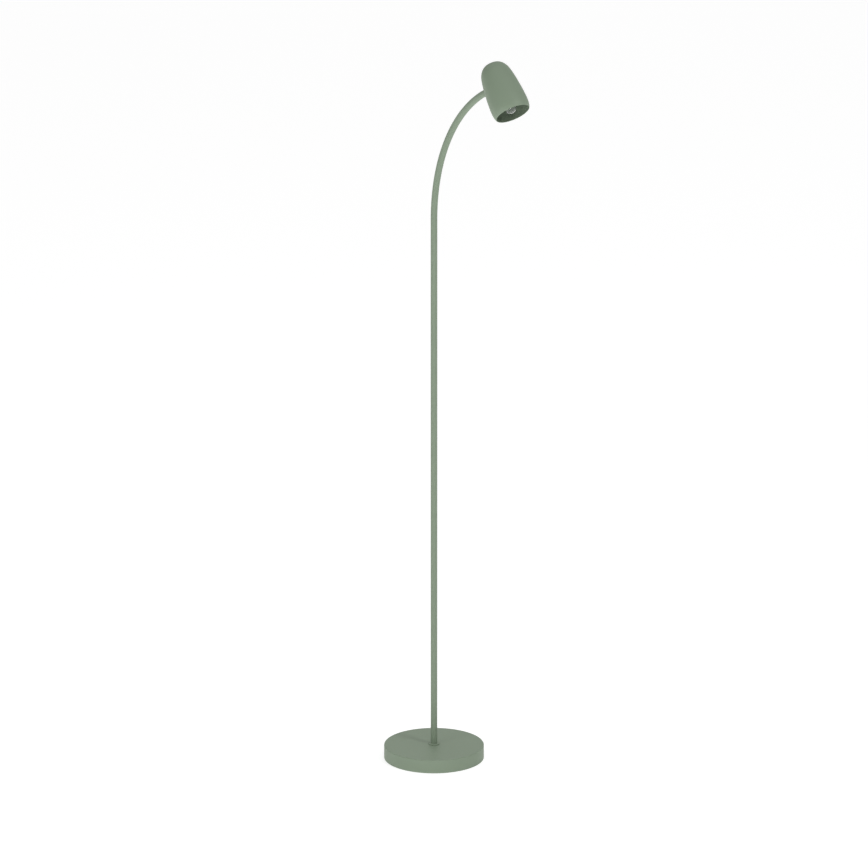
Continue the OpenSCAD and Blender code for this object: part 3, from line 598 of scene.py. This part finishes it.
def clear_glass():
    """Clear blown glass, with the faint ripples of the blow."""
    glass = Finish("clear_glass")
    ripples = glass.noise(90, 1)
    return glass.surface(
        Base_Color=(0.97, 0.98, 0.975, 1),
        Roughness=0.02 + 0.02 * ripples,
        Normal=glass.bump(ripples, 0.05 * MM),
        IOR=1.5,
        Transmission_Weight=1.0,
    )


def wire_skin():
    """Drawn wire, greyish and a little uneven."""
    wire = Finish("bulb_wire")
    draw = wire.noise(1500, 2)
    return wire.surface(
        Base_Color=wire.tint(draw, (0.38, 0.37, 0.36), (0.52, 0.51, 0.49)),
        Metallic=1.0,
        Roughness=0.3 + 0.15 * draw,
        Normal=wire.bump(draw, 0.005 * MM),
    )


def envelope(depth):
    """The bulb's section, this far in from its outer face, from its tip to its neck."""
    radius = bulb_r - depth
    tip = bulb_tip_s + depth
    neck = neck_glass_r - depth
    return [
        ((0, tip), (circle_share * radius, tip), (radius, bulb_centre - circle_share * radius),
            (radius, bulb_centre)),
        ((radius, bulb_centre), (radius, bulb_centre + glass_shoulder),
            (neck, glass_end_s - glass_taper), (neck, glass_end_s)),
    ]


glass_finish = clear_glass()
glass_shape = turned(curved_line(envelope(0), 16), steps=72)
glass_in = turned(curved_line(envelope(glass_t), 16), steps=72)
bmesh.ops.reverse_faces(glass_in, faces=glass_in.faces[:])
inner_skin = bpy.data.meshes.new("glass_inside")
glass_in.to_mesh(inner_skin)
glass_in.free()
glass_shape.from_mesh(inner_skin)
bpy.data.meshes.remove(inner_skin)
bmesh.ops.bridge_loops(glass_shape, edges=[edge for edge in glass_shape.edges if edge.is_boundary])
glass = piece("bulb_envelope", glass_shape, glass_finish, in_head)
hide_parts("bulb_glass")
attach(glass, HEAD)
bulb_wire = wire_skin()
coated(glass_finish, "clear_glass", "bulb_stem")
coated(bulb_wire, "bulb_wire", "bulb_filament")
coated(zinc_steel, "zinc_steel", "bulb_cap")
coated(brass_metal, "brass", "bulb_tip")

# Studio. A plain pale floor that runs on out of sight, soft glows behind the lamp and overhead,
# and three round soft boxes: a key high on the right and two weaker fills in front.
camera_azimuth = math.radians(55.458)
camera_elevation = math.radians(16.781)
camera_distance = 16.844
camera_lens = 307
look_at = Vector((0, 0, 0.778))
floor_reach = 60
floor_light = 0.65
glow_behind = 1.0
glow_overhead = 1.2
sky_colour = (0.8, 0.8, 0.8, 1)
to_front = Vector((math.sin(camera_azimuth), -math.cos(camera_azimuth), 0))
to_right = Vector((math.cos(camera_azimuth), math.sin(camera_azimuth), 0))
overhead = Vector((0, 0, 1))


def floor_skin():
    """Pale seamless paper, with a light of its own so that it reads as plain white."""
    paper = Finish("studio_floor")
    cloud = paper.noise(0.4, 2)
    return paper.surface(
        Base_Color=paper.tint(cloud, (0.55, 0.55, 0.55), (0.56, 0.56, 0.56)),
        Roughness=0.9,
        Specular_IOR_Level=0.0,
        Emission_Color=(1, 1, 1, 1),
        Emission_Strength=floor_light,
    )


class Surround(Finish):
    """The world's nodes: each glow is a wide soft patch of light on the sky."""

    def __init__(self, name):
        self.world = bpy.data.worlds.new(name)
        self.world.use_nodes = True
        self.tree = self.world.node_tree
        self.tree.nodes.clear()
        self.places = self.node("TexCoord", output="Generated")

    def glow(self, toward, strength):
        facing = self.node("VectorMath", {"operation": "DOT_PRODUCT"}, {0: self.places, 1: toward},
            output="Value")
        lit = facing.maths("MAXIMUM", facing, 0)
        return strength * (lit * lit)

    def sky(self, strength):
        """Lights the lamp with this strength, and is a plain pale grey where it is seen itself."""
        seen = self.node("LightPath", output="Is Camera Ray")
        shown = {"Color": sky_colour, "Strength": strength + seen * (1 - strength)}
        light = self.node("Background", {}, shown)
        self.node("OutputWorld", {}, {"Surface": light})
        return self.world


floor_shape = bmesh.new()
bmesh.ops.create_grid(floor_shape, x_segments=8, y_segments=8, size=floor_reach)
floor = piece("studio_floor", floor_shape, floor_skin())

surround = Surround("studio")
bpy.context.scene.world = surround.sky(
    surround.glow(-to_front, glow_behind) + surround.glow(overhead, glow_overhead))
bpy.context.scene.view_settings.view_transform = "Standard"

aim = Vector((0.1, 0, 0.8))
for name, place, width, power in (
    ("key", 3.0 * to_right + 2.5 * to_front + 4.2 * overhead, 1.2, 66),
    ("front_fill", 0.4 * to_right + 3.0 * to_front + 1.1 * overhead, 1.6, 12),
    ("left_fill", -2.4 * to_right + 2.4 * to_front + 1.3 * overhead, 1.6, 28),
):
    light = bpy.data.lights.new(name, "AREA")
    light.shape = "DISK"
    light.size = width
    light.energy = power
    soft_box = bpy.data.objects.new(name, light)
    soft_box.location = place
    soft_box.rotation_euler = (place - aim).to_track_quat("Z", "Y").to_euler()
    bpy.context.scene.collection.objects.link(soft_box)

toward = math.cos(camera_elevation) * to_front + math.sin(camera_elevation) * overhead
lens = bpy.data.cameras.new("camera")
lens.sensor_width = 36
lens.lens = camera_lens
lens.clip_end = 200
camera = bpy.data.objects.new("camera", lens)
camera.location = look_at + camera_distance * toward
camera.rotation_euler = toward.to_track_quat("Z", "Y").to_euler()
bpy.context.scene.collection.objects.link(camera)
bpy.context.scene.camera = camera
